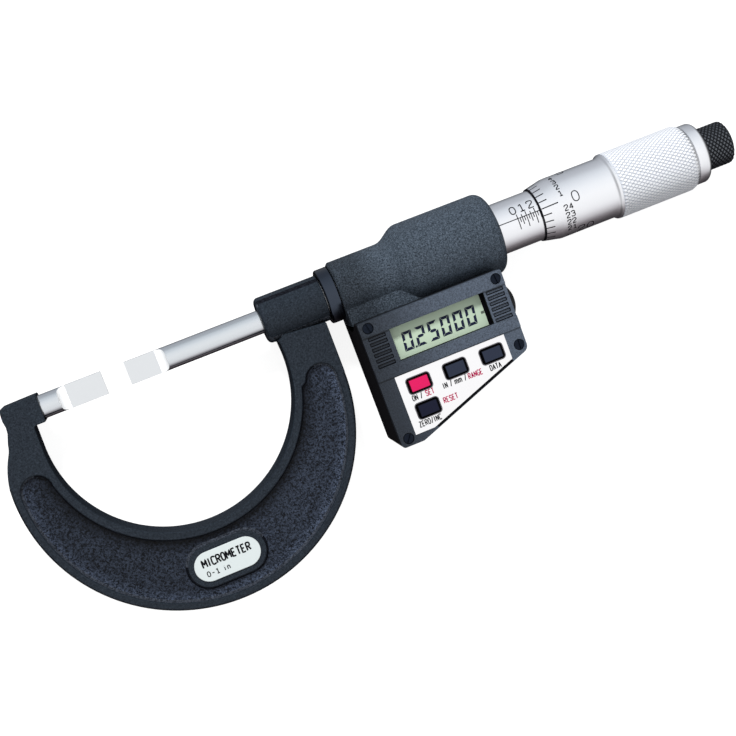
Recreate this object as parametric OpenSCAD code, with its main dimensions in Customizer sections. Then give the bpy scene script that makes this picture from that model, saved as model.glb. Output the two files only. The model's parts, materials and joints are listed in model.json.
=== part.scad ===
// Electronic blade micrometer, 0 to 25.4 mm, lying on its back.
// +X runs along the spindle axis from the anvil to the ratchet, +Z points out of the display.
// The origin is the centre of the anvil's measuring face. Drawn open by measuring_gap.

/* [Measuring] */
// Gap between the two measuring faces as drawn
measuring_gap = 6.35; // [5:0.05:8]
// Diameter of the spindle and the anvil
spindle_d = 6.35; // [6.3:0.05:6.4]
// Thickness of the two blades
blade_t = 0.75; // [0.6:0.05:1.2]
// Length of the anvil's flat blade
anvil_blade_l = 9.5; // [8:0.1:10]
// Length of the spindle's flat blade
spindle_blade_l = 7.95; // [7:0.1:10]
// Radius of the ground shoulder behind each blade
shoulder_r = 2.85; // [2.8:0.05:3.2]

/* [Frame] */
// Half thickness of the C frame
frame_h = 4.7; // [4.5:0.1:5.2]
// Depth of the pocket in each face
pocket_depth = 1.5; // [1:0.1:2]
// Radius of the outer edge
frame_outer_r = 45.9; // [45.5:0.1:46.5]
// Radius of the throat
throat_r = 33.4; // [33:0.1:33.8]
// Width of the rim around the pocket
rim_w = 2.2; // [1.8:0.1:2.6]
// Radius of the spindle boss
boss_r = 6.3; // [6.1:0.1:6.6]

/* [Housing] */
// Radius of the slim neck next to the lock ring
neck_r = 8.25; // [8:0.05:8.6]
// Radius of the barrel round the encoder
barrel_r = 11.4; // [11.2:0.1:11.6]
// Radius of the lock ring
lock_ring_r = 7.5; // [7:0.1:8]

/* [Thimble] */
// Radius of the graduated sleeve
sleeve_r = 7.05; // [7:0.01:7.06]
// Radius of the thimble's plain body
thimble_r = 8.5; // [8.3:0.1:8.8]
// Radius over the thimble's knurl
knurl_r = 9.3; // [9:0.1:9.6]
// Radius of the ratchet knob
knob_r = 6.05; // [5.9:0.05:6.4]
// Number of click teeth in the ratchet
click_teeth = 12; // [8:1:18]

/* [Display module] */
// Height of the front bars above the spindle axis
module_front = 13.2; // [13.1:0.05:13.3]
// Height of the back cover's flat face below the spindle axis
module_back = 11.4; // [11.2:0.1:11.6]
// Wall thickness of the case
wall = 1.3; // [1.2:0.1:1.4]
// Width of a key cap
key_w = 5.3; // [5:0.1:5.4]
// Height of a key cap
key_h = 3.3; // [3:0.1:3.4]
// Diameter of the coin cell
cell_d = 12.5; // [12:0.1:12.6]

/* [Hidden] */
$fn = 96;
spindle_r = spindle_d / 2;
tiny = 0.01;
slip = 0.025;

// throat and outer arcs of the frame
throat_c = [12.74, -11];
outer_c = [13.45, -20.4];
bend_r = 24;
neck_blend_r = 8;
anvil_boss_x = [-27.2, -17.2];
boss_x = [43.6, 61.2];
badge_c = [12.6, -54.8];
badge_size = [18.2, 8.1];
badge_pad_size = [21.6, 11.6];
badge_pad_z = 4.2;
badge_t = 0.35;

// stations along the spindle axis
barrel_press_x = 46;
key_x = 55;
lock_x = [61.35, 64.85];
housing_x = [65.05, 111.15];
guide_end_x = 66.8;
chamber_x = [104, 109.6];
collar_x = [74.5, 82.6];
cap_end_x = 86.2;
tail_x = 79.4;
ball_x = 80;
shank_x = [86.5, 115.4];
thread_end_x = 153;
nut_end_x = 150.5;
sleeve_x = [109.75, 143.8];
thimble_x = [123.4, 169.5];
thimble_wall_x = 157.5;
knob_x = [174, 182.2];

guide_r = 5.2;
cartridge_r = 6.6;
cavity_r = 4.9;
collar_r = 4.7;
thread_r = 3.9;
shank_r = 3.2;
nut_r = 6;
chamber_r = 10.2;
rotor_hub_r = 4.6;

// display module
case_l = 65.45;
case_rt = 106.2;
case_top = -9;
case_low = -43.75;
slope_n = [0.337, -0.9415];
slope_c = 65.3;
housing_low = -9.6;
block_h = 6.6;
case_z = [-4.4, 10.5];
cover_low_z = 10.55;
field_z = module_front - 0.4;
window_x = [73.1, 99.8];
window_y = [-21.9, -13.1];
board_z = [5.8, 7];
label_t = 0.15;
key_recess = [6.6, 4.3];
key_top = module_front + 0.35;
key_columns = [75.5, 85.9, 96.4];
key_rows = [-29.1, -36.1];
cover_screws_at = [[67.9, -10.9], [104.2, -11], [104.2, -29.5], [67.8, -41.7]];
rear_screws_at = [[72, -15.5], [99, -15.5], [72, -36]];
bracket_screws_x = [72.2, 77.6];
screw_seat_z = 11.5;
tray_y = -18.35;
tray_half = 6.75;
tray_z = [0.6, 5.2];
cell_x = 97.5;
tray_bulge_r = 7.5;
tray_bulge_x = 108.9;

// ---- shapes shared by the sub-parts ----

function arc(c, r, a0, a1, n = 12) =
    [for (i = [0 : n]) c + r * [cos(a0 + (a1 - a0) * i / n), sin(a0 + (a1 - a0) * i / n)]];

// A bar with round ends, long along X
function stadium(c, size) = let (r = size.y / 2, d = [size.x / 2 - r, 0])
    concat(arc(c + d, r, -90, 90, 20), arc(c - d, r, 90, 270, 20));

function unit(v) = v / norm(v);

// The arc that rounds corner p, between neighbours a and b, to radius r
function corner(a, p, b, r, n = 6) =
    let (u = unit(a - p), v = unit(b - p), half = acos(u * v) / 2, c = p + unit(u + v) * r / sin(half),
        t0 = p + u * r / tan(half) - c, t1 = p + v * r / tan(half) - c,
        a0 = atan2(t0.y, t0.x), turn = (atan2(t1.y, t1.x) - a0 + 540) % 360 - 180)
    arc(c, r, a0, a0 + turn, n);

function rounded(points, radii) =
    [for (i = [0 : len(points) - 1])
        each corner(points[(i + len(points) - 1) % len(points)], points[i],
            points[(i + 1) % len(points)], radii[i])];

// Solid of revolution about X; each profile point is [x, radius]
module turned(profile) {
    rotate([0, 90, 0]) rotate_extrude() polygon([for (p = profile) [p[1], p[0]]]);
}

module rod(x0, x1, r) {
    translate([x0, 0, 0]) rotate([0, 90, 0]) cylinder(h = x1 - x0, r = r);
}

module tube(x0, x1, ro, ri) {
    difference() {
        rod(x0, x1, ro);
        rod(x0 - 1, x1 + 1, ri);
    }
}

module block(x, y, z) {
    translate([x[0], y[0], z[0]]) cube([x[1] - x[0], y[1] - y[0], z[1] - z[0]]);
}

module slab(z) {
    translate([0, 0, z[0]]) linear_extrude(z[1] - z[0]) children();
}

// ---- frame ----

function throat_point(a) = throat_c + throat_r * [cos(a), sin(a)];

module frame_outline() {
    bend_c = [outer_c.x - frame_outer_r + bend_r, outer_c.y];
    bend_end = bend_c + bend_r * [cos(150), sin(150)];
    blend_c = bend_end + neck_blend_r * [cos(150), sin(150)];
    polygon(concat(
        arc(outer_c, frame_outer_r, 180, 360, 72),
        [[59.35, -6], [47.6, -5]],
        arc([44.9, -7.2], 1.1, 60, 0, 4),
        arc(throat_c, throat_r, 5, -180, 72),
        arc([-19.7, -4.45], 0.8, 180, 90, 4),
        [[anvil_boss_x[1], -3.65], [anvil_boss_x[1], 3.75]],
        arc([anvil_boss_x[0] + 1, 2.55], 1, 90, 165, 5),
        [[anvil_boss_x[0] - 0.15, 0.3], [anvil_boss_x[0] + 0.1, -1.4], [anvil_boss_x[0] - 0.1, -3]],
        arc(blend_c, neck_blend_r, -9, -30, 5),
        arc(bend_c, bend_r, 150, 178, 8)));
}

module pocket_outline() {
    cap_r = 4.3;
    inner_r = throat_r + rim_w - 0.1;
    outer_r = frame_outer_r - rim_w;
    polygon(concat(
        arc(outer_c, outer_r, 180, 360, 72),
        arc([outer_c.x + outer_r - cap_r, -19.7], cap_r, 0, 168, 12),
        arc(throat_c, inner_r, -14, -166, 64),
        arc([outer_c.x - outer_r + cap_r, -19.7], cap_r, 12, 180, 12)));
}

module frame() {
    color([0.2, 0.21, 0.24]) difference() {
        union() {
            slab([-frame_h, frame_h]) frame_outline();
            turned([[boss_x[0], 0], [boss_x[0], boss_r - 1], [boss_x[0] + 0.3, boss_r - 0.3],
                [boss_x[0] + 1, boss_r], [boss_x[1], boss_r], [boss_x[1], 0]]);
        }
        for (side = [-1, 1]) difference() {
            translate([0, 0, side * frame_h]) linear_extrude(2 * pocket_depth, center = true)
                pocket_outline();
            slab([side > 0 ? 0 : -badge_pad_z, side > 0 ? badge_pad_z : 0])
                polygon(stadium(badge_c, badge_pad_size));
        }
        rod(anvil_boss_x[0] + 2.7, anvil_boss_x[1] + 1, spindle_r);
        rod(boss_x[0] - 1, boss_x[1] + 1, spindle_r + 0.08);
        rod(barrel_press_x, boss_x[1] + 1, guide_r);
        translate([key_x, 0, -10]) cylinder(h = 6, r = 1.1);
        translate([key_x, 0, -10]) cylinder(h = 4.6, r = 2.05);
    }
}

// A round bar ground to a blade: flat from tip to flat_end, then a hollow shoulder
module blade_cut(tip, flat_end) {
    s = sign(flat_end - tip);
    t = blade_t / 2;
    far = 20;
    half = concat([[tip - s * far, t]],
        [for (i = [0 : 10]) let (a = 90 * i / 10)
            [flat_end + s * shoulder_r * sin(a), t + shoulder_r * (1 - cos(a))]],
        [[flat_end + s * shoulder_r, far], [tip - s * far, far]]);
    for (side = [0, 1]) mirror([0, 0, side]) rotate([90, 0, 0])
        linear_extrude(far, center = true) polygon(half);
}

module anvil() {
    color([0.86, 0.87, 0.88]) difference() {
        rod(anvil_boss_x[0] + 2.8, 0, spindle_r);
        blade_cut(0, -anvil_blade_l);
    }
}

module frame_badge() {
    color([0.93, 0.93, 0.92]) slab([badge_pad_z, badge_pad_z + badge_t])
        polygon(stadium(badge_c, badge_size));
}

// ---- spindle guide and lock ----

module guide_barrel() {
    color([0.7, 0.71, 0.73]) difference() {
        turned([[barrel_press_x, spindle_r + slip], [barrel_press_x, guide_r],
            [housing_x[0], guide_r], [housing_x[0], cartridge_r], [chamber_x[0], cartridge_r],
            [chamber_x[0], cavity_r], [guide_end_x, cavity_r], [guide_end_x, spindle_r + slip]]);
        translate([key_x, 0, -10]) cylinder(h = 10, r = 1.05);
        block([61.7, 64.5], [-0.9, 0.9], [2.5, 6]);
    }
}

module guide_key() {
    color([0.55, 0.55, 0.57]) difference() {
        union() {
            translate([key_x, 0, -5.4]) cylinder(h = 3.1, r = 1);
            translate([key_x, 0, -6.2]) cylinder(h = 0.8, r = 1.95);
        }
        block([key_x - 3, key_x + 3], [-0.2, 0.2], [-7, -5.8]);
    }
}

module lock_roller() {
    color([0.6, 0.6, 0.62]) translate([0, 0, 4.08]) rod(61.8, 64.4, 0.85);
}

module lock_ring() {
    color([0.06, 0.06, 0.07]) turned([[lock_x[0], guide_r + 0.08], [lock_x[0], lock_ring_r - 0.5],
        [lock_x[0] + 0.5, lock_ring_r], [lock_x[1] - 0.2, lock_ring_r],
        [lock_x[1], lock_ring_r - 0.2], [lock_x[1], guide_r + 0.08]]);
}

// ---- housing, nut and sleeve ----

module housing() {
    flare = [for (i = [0 : 8]) let (k = i / 8)
        [79.5 + 6.8 * k, neck_r + (barrel_r - neck_r) * (1 - cos(180 * k)) / 2]];
    end_round = arc([housing_x[1] - 2.8, barrel_r - 2.8], 2.8, 90, 10, 6);
    color([0.19, 0.2, 0.22]) difference() {
        union() {
            turned(concat([[housing_x[0], 0], [housing_x[0], neck_r - 0.6],
                [housing_x[0] + 0.6, neck_r]], flare, end_round,
                [[housing_x[1], 7.6], [housing_x[1], 0]]));
            block([housing_x[0] + 0.2, 106], [housing_low, 0], [-block_h, block_h]);
        }
        rod(housing_x[0] - 1, chamber_x[0] + 1, cartridge_r + 0.02);
        rod(chamber_x[0], chamber_x[1], chamber_r);
        rod(chamber_x[0], housing_x[1] + 1, sleeve_r + 0.05);
        block([96.9, chamber_x[0] + 0.1], [-13, -6.4], [5.35, 5.85]);
        for (x = bracket_screws_x) translate([x, -7.2, 0]) rotate([90, 0, 0])
            cylinder(h = 6, r = 0.95);
    }
}

module spindle_nut() {
    color([0.72, 0.73, 0.75]) turned([[108.2, thread_r + 0.05], [108.2, chamber_r - 0.05],
        [chamber_x[1], chamber_r - 0.05], [chamber_x[1], nut_r], [nut_end_x, nut_r],
        [nut_end_x, thread_r + 0.05]]);
}

module sleeve() {
    color([0.8, 0.81, 0.82]) tube(sleeve_x[0], sleeve_x[1], sleeve_r, nut_r + 0.04);
}

module adjusting_nut() {
    color([0.66, 0.67, 0.69]) difference() {
        tube(144.4, 149.6, 6.9, nut_r);
        for (a = [0, 90]) rotate([a, 0, 0]) block([148.8, 150], [-8, 8], [-0.5, 0.5]);
    }
}

module rotor_bush() {
    color([0.75, 0.62, 0.3]) tube(107.55, 108.2, 6.2, rotor_hub_r + 0.06);
}

module encoder_stator() {
    color([0.1, 0.35, 0.2]) tube(104.3, 105.4, chamber_r - 0.1, 5.2);
}

module encoder_rotor() {
    color([0.75, 0.6, 0.35]) {
        difference() {
            union() {
                rod(106.2, 107.4, 9.7);
                rod(105.7, 108, rotor_hub_r);
            }
            rod(100, 112, shank_r + 0.08);
        }
        block([105.7, 108], [-0.5, 0.5], [2.5, shank_r + 0.3]);
    }
}

// ---- spindle and its coupling ----

module spindle() {
    color([0.8, 0.81, 0.83]) difference() {
        rod(measuring_gap, tail_x, spindle_r);
        blade_cut(measuring_gap, measuring_gap + spindle_blade_l);
        block([34.8, 62.5], [-1.05, 1.05], [-5, -2.2]);
        translate([ball_x, 0, 0]) sphere(r = 1.25);
    }
}

module coupling_collar() {
    color([0.5, 0.51, 0.54]) difference() {
        rod(collar_x[0], collar_x[1], collar_r);
        rod(collar_x[0] - 1, tail_x, spindle_r);
        rod(tail_x, collar_x[1] + 1, 4.1);
    }
}

module coupling_cap() {
    color([0.45, 0.46, 0.49]) tube(collar_x[1], cap_end_x, collar_r, 2.7);
}

module thrust_ball() {
    color([0.85, 0.86, 0.88]) translate([ball_x, 0, 0]) sphere(r = 1.19);
}

// ---- lead screw and thimble ----

module lead_screw() {
    seat_end = 165.8;
    color([0.6, 0.61, 0.64]) difference() {
        turned([[80.6, 0], [80.6, thread_r], [82.5, thread_r], [82.5, 2.6], [shank_x[0], 2.6],
            [shank_x[0], shank_r], [shank_x[1], shank_r], [shank_x[1], thread_r],
            [thread_end_x, thread_r], [thread_end_x, shank_r], [seat_end, shank_r],
            [seat_end, 1.5], [158, 1.5], [158, 0]]);
        block([shank_x[0] - 0.1, shank_x[1] + tiny], [-0.6, 0.6], [2.3, 5]);
        translate([ball_x, 0, 0]) sphere(r = 1.25);
    }
}

module thimble() {
    color([0.82, 0.83, 0.84]) turned([[thimble_x[0], 7.17], [thimble_x[0], 7.4], [128.4, thimble_r],
        [145.2, thimble_r], [145.5, knurl_r - 0.4], [146, knurl_r], [168.7, knurl_r],
        [thimble_x[1], knurl_r - 0.6], [thimble_x[1], 4.4], [165.9, 4.4], [165.9, shank_r],
        [thimble_wall_x, shank_r], [thimble_wall_x, 7.17]]);
}

module thimble_cap() {
    color([0.84, 0.85, 0.86]) turned([[169.6, 4.4], [169.6, thimble_r - 0.2], [169.8, thimble_r],
        [172.3, thimble_r], [173.1, thimble_r - 0.35], [173.4, thimble_r - 1.1], [173.4, 4.4]]);
}

// ---- ratchet ----

module click_ring(x0, x1, phase) {
    for (i = [0 : click_teeth - 1]) rotate([360 * (i + phase) / click_teeth, 0, 0])
        block([x0, x1], [-0.45, 0.45], [3.2, 4.5]);
}

module ratchet_hub() {
    color([0.62, 0.63, 0.66]) difference() {
        union() {
            turned([[158.2, 0], [158.2, 1.5], [165.9, 1.5], [165.9, 4.4], [173.6, 4.4],
                [173.6, 4.8], [176, 4.8], [176, 1.9], [180.6, 1.9], [180.6, 0]]);
            click_ring(176 - tiny, 176.7, 0);
        }
        rod(172, 182, 1);
    }
}

module ratchet_screw() {
    color([0.55, 0.56, 0.58]) difference() {
        union() {
            rod(172.5, 181.65, 0.95);
            rod(181.55, 182.15, 2.2);
        }
        block([181.85, 185], [-3, 3], [-0.25, 0.25]);
    }
}

module ratchet_pawl() {
    color([0.58, 0.59, 0.6]) {
        difference() {
            union() {
                rod(177.2, 178.4, 4.75);
                block([177.2, 178.4], [-5.25, 5.25], [-0.7, 0.7]);
            }
            rod(170, 190, 2.05);
        }
        click_ring(176.85, 177.2 + tiny, 0.5);
    }
}

module ratchet_spring() {
    wire_r = 0.25;
    coil_r = 3;
    turns = 2.5;
    steps = 64;
    sides = 8;
    x0 = 178.8;
    pitch = 0.6;
    ring = [for (i = [0 : steps]) let (a = 360 * turns * i / steps)
        [for (j = [0 : sides - 1]) let (b = 360 * j / sides, r = coil_r + wire_r * cos(b))
            [x0 + pitch * a / 360 + wire_r * sin(b), r * cos(a), r * sin(a)]]];
    color([0.7, 0.7, 0.72]) polyhedron(points = [for (r = ring) each r], faces = concat(
        [[for (j = [0 : sides - 1]) j]],
        [for (i = [0 : steps - 1]) for (j = [0 : sides - 1]) let (k = (j + 1) % sides)
            [i * sides + j, (i + 1) * sides + j, (i + 1) * sides + k, i * sides + k]],
        [[for (j = [sides - 1 : -1 : 0]) steps * sides + j]]));
}

module ratchet_knob() {
    end_round = arc([knob_x[1] - 1.2, knob_r - 1.2], 1.2, 90, 0, 8);
    color([0.09, 0.09, 0.1]) difference() {
        turned(concat([[knob_x[0], 4.92], [knob_x[0], knob_r - 0.3], [knob_x[0] + 0.3, knob_r]],
            end_round, [[knob_x[1], 2.4], [181.5, 2.4], [181.5, 1.1], [180.7, 1.1], [180.7, 4.92]]));
        block([173, 180.7], [-5.4, 5.4], [-0.8, 0.8]);
    }
}

// ---- display module ----

function slope_y(x, inset) = (slope_n.x * x - slope_c + inset) / -slope_n.y;
function slope_x(y, inset) = (slope_c - inset - slope_n.y * y) / slope_n.x;

function module_points(inset, top = case_top) = [
    [case_l + inset, top - inset], [case_l + inset, case_low + inset],
    [slope_x(case_low + inset, inset), case_low + inset],
    [case_rt - inset, slope_y(case_rt - inset, inset)], [case_rt - inset, top - inset]];

module module_outline(inset = 0) {
    polygon(rounded(module_points(inset), inset > 0 ? [0.4, 0.4, 0.4, 0.8, 0.4] :
        [0.5, 1, 2, 2, 0.5]));
}

// Space that the housing takes, with a gap
module housing_space() {
    gap = 0.1;
    block([60, 120], [housing_low - gap, 0], [-block_h - gap, block_h + gap]);
    rod(60, 120, barrel_r + gap);
}

module at_screws(places, z) {
    for (p = places) translate([p.x, p.y, z]) children();
}

module module_case() {
    color([0.07, 0.07, 0.08]) difference() {
        slab(case_z) module_outline();
        difference() {
            slab([case_z[0] - 1, case_z[1] + 1]) module_outline(wall);
            at_screws(cover_screws_at, case_z[0]) cylinder(h = case_z[1] - 0.1 - case_z[0], r = 2.3);
            block([60, 120], [-10.9, 0], [-20, 20]);
        }
        at_screws(cover_screws_at, case_z[0] + 3) cylinder(h = 20, r = 1);
        block([89.4, 107], [tray_y - tray_half - 0.15, tray_y + tray_half + 0.15],
            [tray_z[0] - 0.15, tray_z[1] + 0.15]);
        for (x = bracket_screws_x) translate([x, 0, 0]) rotate([90, 0, 0]) cylinder(h = 14, r = 0.95);
        block([96.9, 101.8], [-14, -6], [5.35, 5.85]);
        housing_space();
    }
}

module rear_cover() {
    z = [-module_back, case_z[0] - 0.1];
    cut = 3.2;
    color([0.08, 0.08, 0.09]) difference() {
        intersection() {
            slab(z) module_outline();
            rotate([90, 0, 0]) linear_extrude(60) polygon([[case_l, z[1]],
                [case_l, z[0] + cut], [case_l + cut, z[0]], [case_rt - cut, z[0]],
                [case_rt, z[0] + cut], [case_rt, z[1]]]);
        }
        slab([z[0] + wall, z[1] + 1]) module_outline(wall + 2.2);
        at_screws(rear_screws_at, z[0] - 1) cylinder(h = 5, r = 1);
        at_screws(rear_screws_at, z[0] - 1) cylinder(h = 1.8, r = 1.7);
        housing_space();
    }
}

module grille(x0, x1) {
    for (i = [0 : 5]) block([x0, x1], [-14.18, -13.42] - [i, i] * 1.51, [field_z - 0.3, 20]);
}

module key_window(size, z, r) {
    for (p = key_places()) translate([p.x, p.y, z]) linear_extrude(9)
        polygon(rounded([[-size.x, -size.y] / 2, [size.x, -size.y] / 2, [size.x, size.y] / 2,
            [-size.x, size.y] / 2], [r, r, r, r]));
}

function key_places() = concat([for (x = key_columns) [x, key_rows[0]]], [[key_columns[0], key_rows[1]]]);

module front_cover() {
    color([0.25, 0.27, 0.32]) difference() {
        slab([cover_low_z, module_front]) module_outline();
        block([60, 110], [-21.95, -13], [field_z, 20]);
        block([60, 110], [-50, -25.1], [field_z, 20]);
        block(window_x, window_y, [5, 20]);
        grille(67, 71.7);
        grille(100.5, 105.2);
        key_window([5.7, 3.7], 5, 0.6);
        key_window(key_recess, field_z - 0.7, 0.95);
        at_screws(cover_screws_at, 5) cylinder(h = 9, r = 1);
        at_screws(cover_screws_at, screw_seat_z) cylinder(h = 9, r = 1.5);
    }
}

module keypad_label() {
    edge = 0.85;
    color([0.95, 0.95, 0.95]) difference() {
        slab([field_z, field_z + label_t]) polygon([[69.9, -25.4], [101.1, -25.4],
            [101.1, slope_y(101.1, edge)], [slope_x(-41.5, edge), -41.5], [69.9, -41.5]]);
        key_window(key_recess, 5, 0.95);
    }
}

module lcd_panel() {
    color([0.82, 0.86, 0.72]) block([71.6, 100.7], [-23, -12.2], [9.05, 10.2]);
}

module lcd_holder() {
    color([0.8, 0.8, 0.78]) difference() {
        block([72, 100.3], [-22.7, -12.5], [board_z[1], 9.05]);
        block([74, 98.3], [-21.2, -14], [0, 20]);
    }
}

module circuit_board() {
    color([0.08, 0.32, 0.18]) difference() {
        slab(board_z) module_outline(wall + 0.3);
        at_screws(cover_screws_at, 0) cylinder(h = 20, r = 2.5);
        block([60, 110], [-11.3, 0], [-20, 20]);
    }
}

module key_switches() {
    color([0.3, 0.3, 0.32]) for (p = key_places()) {
        block([p.x - 2.2, p.x + 2.2], [p.y - 1.9, p.y + 1.9], [board_z[1], 8.1]);
        translate([p.x, p.y, 8.1 - tiny]) cylinder(h = 0.5, r = 1.2);
    }
}

module flex_cable() {
    color([0.75, 0.5, 0.2]) union() {
        block([97.2, 101.5], [-12.4, -6.6], [5.5, 5.75]);
        block([101, 103.9], [-8.3, -6.6], [5.5, 5.75]);
    }
}

module battery_contacts() {
    color([0.8, 0.78, 0.7]) {
        block([92.5, 101], [tray_y - 1.2, tray_y + 1.2], [5.35, board_z[0]]);
        block([95.5, 98.5], [tray_y + 3, tray_y + 5], [5.35, board_z[0]]);
    }
}

module battery_tray() {
    color([0.3, 0.31, 0.35]) difference() {
        union() {
            block([89.6, case_rt + 0.1], [tray_y - tray_half, tray_y + tray_half], tray_z);
            intersection() {
                translate([tray_bulge_x - tray_bulge_r, tray_y, -0.4]) cylinder(h = 6.4, r = tray_bulge_r);
                block([case_rt + 0.1, 120], [tray_y - tray_half, tray_y + tray_half], [-0.4, 6]);
            }
        }
        translate([cell_x, tray_y, tray_z[0] + 1.5]) cylinder(h = 9, r = cell_d / 2 + 0.05);
    }
}

module battery_cell() {
    color([0.78, 0.78, 0.76]) translate([cell_x, tray_y, tray_z[0] + 1.5]) {
        cylinder(h = 2, r = cell_d / 2 - 0.05);
        translate([0, 0, 2 - tiny]) cylinder(h = 0.5, r = cell_d / 2 - 0.9);
    }
}

module key_cap(x, y) {
    translate([x, y, 0]) {
        block([-key_w / 2, key_w / 2], [-key_h / 2, key_h / 2], [9.6, key_top]);
        block([-3.2, 3.2], [-2.2, 2.2], [9.2, 10]);
    }
}

module key_shift() { color([0.85, 0.1, 0.3]) key_cap(key_columns[0], key_rows[0]); }
module key_unit() { color([0.15, 0.15, 0.18]) key_cap(key_columns[1], key_rows[0]); }
module key_hold() { color([0.15, 0.15, 0.18]) key_cap(key_columns[2], key_rows[0]); }
module key_zero() { color([0.15, 0.15, 0.18]) key_cap(key_columns[0], key_rows[1]); }

// ---- fasteners of the display module ----

module slotted_screw(head_r, head_h, shank_r, shank_l, slot_angle) {
    difference() {
        union() {
            cylinder(h = head_h, r = head_r);
            translate([0, 0, -shank_l]) cylinder(h = shank_l + tiny, r = shank_r);
        }
        rotate([0, 0, slot_angle]) translate([-4, -0.22, head_h - 0.5]) cube([8, 0.44, 2]);
    }
}

module cover_screws() {
    color([0.35, 0.37, 0.42]) for (i = [0 : 3])
        translate([cover_screws_at[i].x, cover_screws_at[i].y, screw_seat_z])
            slotted_screw(1.3, 1.15, 0.95, 5.5, [102, 96, 88, 55][i]);
}

module rear_screws() {
    color([0.35, 0.36, 0.38]) at_screws(rear_screws_at, -module_back + 0.8) mirror([0, 0, 1])
        slotted_screw(1.6, 0.7, 0.95, 3, 45);
}

module bracket_screws() {
    color([0.5, 0.51, 0.53]) for (x = bracket_screws_x)
        translate([x, -10.95, 0]) rotate([90, 0, 0]) slotted_screw(1.6, 1.1, 0.9, 3.6, 20);
}

frame();
anvil();
frame_badge();
guide_barrel();
guide_key();
lock_roller();
lock_ring();
housing();
spindle_nut();
sleeve();
adjusting_nut();
rotor_bush();
encoder_stator();
encoder_rotor();
spindle();
coupling_collar();
coupling_cap();
thrust_ball();
lead_screw();
thimble();
thimble_cap();
ratchet_hub();
ratchet_screw();
ratchet_pawl();
ratchet_spring();
ratchet_knob();
module_case();
rear_cover();
front_cover();
keypad_label();
lcd_panel();
lcd_holder();
circuit_board();
key_switches();
flex_cable();
battery_contacts();
battery_tray();
battery_cell();
key_shift();
key_unit();
key_hold();
key_zero();
cover_screws();
rear_screws();
bracket_screws();
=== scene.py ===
"""Looks of the electronic blade micrometer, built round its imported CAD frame.

Everything is in the CAD frame: +X along the spindle axis from the anvil's face, +Z out of the
display. Lengths are in millimetres but for the floor and the lights; to_mesh() and MM turn them
into metres.
"""
import json
import math

import bmesh
import bpy
from mathutils import Matrix, Vector


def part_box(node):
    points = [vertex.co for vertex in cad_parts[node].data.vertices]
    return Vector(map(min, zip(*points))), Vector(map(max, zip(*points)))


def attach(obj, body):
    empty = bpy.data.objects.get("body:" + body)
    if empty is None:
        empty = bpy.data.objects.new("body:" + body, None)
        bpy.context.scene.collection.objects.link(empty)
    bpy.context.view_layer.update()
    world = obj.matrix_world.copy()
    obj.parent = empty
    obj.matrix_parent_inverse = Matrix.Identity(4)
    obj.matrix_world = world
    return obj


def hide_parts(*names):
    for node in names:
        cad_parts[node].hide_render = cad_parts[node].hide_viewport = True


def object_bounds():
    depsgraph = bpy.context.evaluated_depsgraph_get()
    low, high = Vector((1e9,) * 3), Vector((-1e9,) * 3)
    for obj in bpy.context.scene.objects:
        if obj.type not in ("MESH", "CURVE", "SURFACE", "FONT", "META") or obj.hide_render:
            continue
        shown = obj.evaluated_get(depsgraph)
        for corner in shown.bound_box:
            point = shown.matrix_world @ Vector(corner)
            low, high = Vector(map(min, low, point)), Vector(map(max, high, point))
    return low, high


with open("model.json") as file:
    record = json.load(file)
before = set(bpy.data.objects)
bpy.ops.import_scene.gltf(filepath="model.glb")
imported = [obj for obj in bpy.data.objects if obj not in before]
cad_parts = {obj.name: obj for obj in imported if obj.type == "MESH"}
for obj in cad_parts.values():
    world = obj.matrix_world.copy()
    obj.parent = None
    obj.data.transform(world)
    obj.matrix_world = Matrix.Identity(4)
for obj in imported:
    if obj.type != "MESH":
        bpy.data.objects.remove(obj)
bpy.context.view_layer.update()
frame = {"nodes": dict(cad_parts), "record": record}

MM = 0.001
SCREW_PITCH = 0.635
# middles of the arcs of the frame's outer edge and of its throat
OUTER_MIDDLE = Vector((13.45, -20.4))
THROAT_MIDDLE = Vector((12.74, -11))

# ---------------------------------------------------------------- places taken from the CAD nodes


def span(node):
    """Lowest and highest corner of a CAD node, in millimetres."""
    low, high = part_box(node)
    return low / MM, high / MM


SLEEVE = span("sleeve")
THIMBLE = span("thimble")
KNOB = span("ratchet_knob")
COVER = span("front_cover")
LABEL = span("keypad_label")
LCD = span("lcd_panel")
BADGE = span("frame_badge")
SPINDLE = span("spindle")
SLEEVE_R = SLEEVE[1].z
THIMBLE_EDGE = THIMBLE[0].x
KNURL_R = THIMBLE[1].z
KNOB_R = KNOB[1].z

# ---------------------------------------------------------------- camera

CAMERA_PLACE = Vector((16.891, 23.241, 365.485))
CAMERA_LENS = 67.65
# how far the camera stands off the Z axis, towards -X and towards +Y, and its turn about its view
LEAN_X, LEAN_Y, ROLL = (math.radians(a) for a in (7.6, 7.0, 21.696))


def add_camera():
    back = Vector((-math.sin(LEAN_X), math.sin(LEAN_Y), 0))
    back.z = math.sqrt(1 - back.length_squared)
    across = (Vector((1, 0, 0)) - back.x * back).normalized()
    over = back.cross(across)
    right = math.cos(ROLL) * across - math.sin(ROLL) * over
    up = math.sin(ROLL) * across + math.cos(ROLL) * over
    data = bpy.data.cameras.new("camera")
    data.sensor_width = 36
    data.lens = CAMERA_LENS
    data.clip_start = 0.01
    data.clip_end = 20
    camera = bpy.data.objects.new("camera", data)
    camera.matrix_world = Matrix((right, up, back)).transposed().to_4x4()
    camera.matrix_world.translation = CAMERA_PLACE * MM
    bpy.context.scene.collection.objects.link(camera)
    bpy.context.scene.camera = camera


# ---------------------------------------------------------------- materials


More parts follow.
